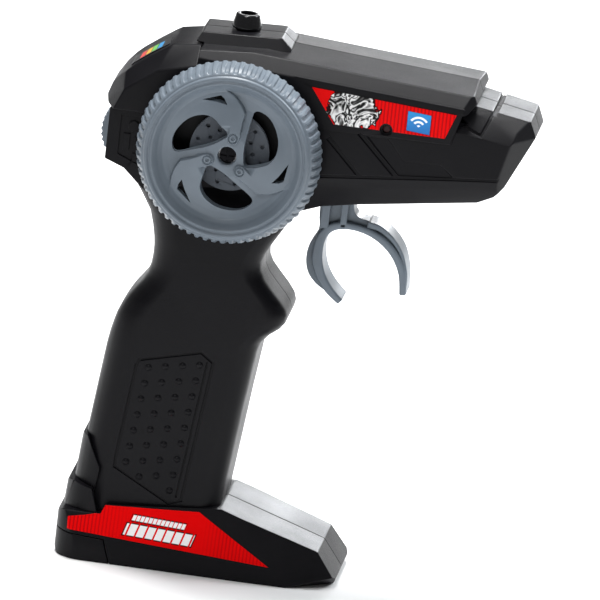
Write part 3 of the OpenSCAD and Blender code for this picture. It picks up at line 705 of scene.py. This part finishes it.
def side_loop(node):
    """The node's outline on its widest Y face, in order, as an array of X and Z."""
    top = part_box(node)[1].y
    mesh = frame["nodes"][node].data
    world = frame["nodes"][node].matrix_world
    co = [world @ v.co for v in mesh.vertices]
    uses = {}
    for face in mesh.polygons:
        if all(abs(co[i].y - top) < 1e-6 for i in face.vertices):
            ids = list(face.vertices)
            for a, b in zip(ids, ids[1:] + ids[:1]):
                ka = (round(co[a].x, 7), round(co[a].z, 7))
                kb = (round(co[b].x, 7), round(co[b].z, 7))
                uses.setdefault(frozenset((ka, kb)), []).append((ka, kb))
    after = {}
    for pairs in uses.values():
        if len(pairs) == 1:
            after[pairs[0][0]] = pairs[0][1]
    loops = []
    while after:
        start = next(iter(after))
        loop = [start]
        while after.get(loop[-1]) is not None:
            loop.append(after.pop(loop[-1]))
            if loop[-1] == start:
                break
        loops.append(np.array(loop[:-1]))
    return max(loops, key=len)


def resample(points, step):
    """Points a fixed distance apart along an open line."""
    gaps = np.linalg.norm(np.diff(points, axis=0), axis=1)
    s = np.concatenate([[0], np.cumsum(gaps)])
    at = np.linspace(0, s[-1], max(int(s[-1] / step), 2))
    return np.stack([np.interp(at, s, points[:, 0]), np.interp(at, s, points[:, 1])], 1)


def sweep_band(name, inner, outer, half, round_r):
    """A bar between two lines of equal length in the XZ plane, rounded at its four long edges."""
    bm = bmesh.new()
    rings = []
    for a, b in zip(inner, outer):
        across = b - a
        width = np.linalg.norm(across)
        d = across / width
        r = min(round_r, width * 0.45)
        ring = []
        for sx, sy in ((-1, -1), (1, -1), (1, 1), (-1, 1)):
            for k in range(4):
                order = k if sx * sy > 0 else 3 - k
                angle = math.radians(90 * order / 3)
                along = width / 2 + sx * (width / 2 - r + r * math.cos(angle))
                y = sy * (half - r + r * math.sin(angle))
                point = a + d * along
                ring.append(bm.verts.new((point[0], y, point[1])))
        rings.append(ring)
    count = len(rings[0])
    for a, b in zip(rings, rings[1:]):
        for i in range(count):
            j = (i + 1) % count
            bm.faces.new((a[i], a[j], b[j], b[i]))
    bm.faces.new(rings[0][::-1])
    bm.faces.new(rings[-1])
    bmesh.ops.recalc_face_normals(bm, faces=bm.faces)
    mesh = bpy.data.meshes.new(name)
    bm.to_mesh(mesh)
    bm.free()
    return mesh


def add_trigger(materials):
    """A web with a wide flange on its inside, a thinner rib on the front arm and two stem ribs."""
    loop = side_loop("trigger")
    low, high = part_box("trigger")
    half = (high.y - low.y) / 2
    middle_x = (low.x + high.x) / 2
    tips = []
    for side in (-1, 1):
        ids = [i for i in range(len(loop)) if (loop[i][0] - middle_x) * side > 0]
        tips.append(min(ids, key=lambda i: loop[i][1]))
    loop = np.roll(loop, -tips[0], axis=0)
    reach = (tips[1] - tips[0]) % len(loop)
    ways = [loop[: reach + 1], np.concatenate([loop[:1], loop[reach:][::-1]])]
    inner, outer = sorted(ways, key=lambda way: way[:, 1].max())
    inner = resample(inner[1:-1], BAR_STEP)
    tangent = np.gradient(inner, axis=0)
    tangent /= np.linalg.norm(tangent, axis=1)[:, None]
    out = np.stack([-tangent[:, 1], tangent[:, 0]], 1)
    center = np.array([middle_x + 0.001, low.z + 0.011])
    out *= np.sign(((inner - center) * out).sum(1))[:, None]
    s = np.linspace(0, 1, len(inner))
    thick = np.interp(s, [0, 0.08, 0.25, 0.42, 0.55, 0.7, 0.9, 1],
                      [0.0021, 0.0026, 0.0034, 0.0026, 0.0020, 0.0024, 0.0024, 0.0021])
    along = np.roll(loop, -1, axis=0) - np.roll(loop, 1, axis=0)
    along /= np.linalg.norm(along, axis=1)[:, None]
    inward = np.stack([-along[:, 1], along[:, 0]], 1)
    area = (loop[:, 0] * np.roll(loop[:, 1], -1) - np.roll(loop[:, 0], -1) * loop[:, 1]).sum()
    web = loop + inward * math.copysign(0.00012, area)
    meshes = [
        prism_y("web", [[tuple(p) for p in web]], -half * 0.62, half * 0.62),
        sweep_band("flange", inner + out * 0.00002, inner + out * thick[:, None], half, 0.0008),
    ]
    front = np.array([p for p in outer if p[0] > middle_x + 0.002 and p[1] < low.z + 0.0275])
    front = resample(front[np.argsort(-front[:, 1] + front[:, 0] * 0.2)], BAR_STEP)
    tangent = np.gradient(front, axis=0)
    tangent /= np.linalg.norm(tangent, axis=1)[:, None]
    into = np.stack([-tangent[:, 1], tangent[:, 0]], 1)
    into *= np.sign(((center - front) * into).sum(1))[:, None]
    s = np.linspace(0, 1, len(front))
    width = np.interp(s, [0, 0.4, 0.8, 1], [0.0021, 0.0013, 0.0009, 0.0008])
    meshes.append(sweep_band("rib", front, front + into * width[:, None], half * 0.86, 0.0004))
    top = high.z - 0.010
    x0 = low.x + 0.0033
    for a, b, foot in ((0, 0.0027, 0.0228), (0.0060, 0.0080, 0.0237)):
        left = np.array([[x0 + a, low.z + foot], [x0 + a, top]])
        meshes.append(sweep_band("stem", left, left + np.array([b - a, 0]), half, 0.0004))
    bm = bmesh.new()
    for mesh in meshes:
        bm.from_mesh(mesh)
    whole = bpy.data.meshes.new("finger_trigger")
    bm.to_mesh(whole)
    bm.free()
    piece = new_piece("finger_trigger", whole, materials["wheel_grey"])
    edge = piece.modifiers.new("edge", "BEVEL")
    edge.width = 0.0003
    edge.segments = 2
    edge.limit_method = "ANGLE"
    edge.angle_limit = math.radians(50)
    smooth_by_angle(piece, math.radians(34))
    keep_flat(piece)
    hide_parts("trigger")
    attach(piece, "trigger_body")


# ---------- stage ----------


def area_light(name, place, target, size, power, color=(1, 1, 1)):
    data = bpy.data.lights.new(name, "AREA")
    data.shape = "RECTANGLE"
    data.size, data.size_y = size
    data.energy = power
    data.color = color
    light = bpy.data.objects.new(name, data)
    direction = Vector(target) - Vector(place)
    turn = direction.to_track_quat("-Z", "Y").to_matrix().to_4x4()
    light.matrix_world = Matrix.Translation(place) @ turn
    bpy.context.scene.collection.objects.link(light)


def add_stage():
    half = 6.0
    mesh = bpy.data.meshes.new("floor")
    mesh.from_pydata(
        [(-half, -half, 0), (half, -half, 0), (half, half, 0), (-half, half, 0)], [], [(0, 1, 2, 3)]
    )
    floor = bpy.data.objects.new("floor", mesh)
    bpy.context.scene.collection.objects.link(floor)
    floor.data.materials.append(plain("floor_white", (0.9, 0.9, 0.9), 0.8, 2))
    world = bpy.data.worlds.new("studio")
    bpy.context.scene.world = world
    world.use_nodes = True
    background = world.node_tree.nodes["Background"]
    background.inputs["Color"].default_value = (1, 1, 1, 1)
    background.inputs["Strength"].default_value = 0.23
    area_light("overhead", (-0.15, 0.3, 1.9), (-0.05, 0.2, 0), (0.7, 0.5), 66)
    area_light("back", (0.5, 2.2, 0.75), (0, 0, 0.12), (1.8, 1.2), 13)
    area_light("window", (0.42, 2.6, 0.75), (0, 0, 0.12), (0.7, 0.5), 24, (0.93, 0.96, 1))
    area_light("front", (-0.4, -1.5, 1.7), (0, 0, 0.12), (0.6, 0.6), 16)
    area_light("right", (1.3, 0.7, 1.3), (0, 0, 0.12), (0.7, 0.7), 26, (0.93, 0.97, 1))


bpy.context.scene.view_settings.view_transform = "Standard"
add_camera()
materials = make_materials()
dress_nodes(materials)
add_wheel(materials)
add_trigger(materials)
add_stage()
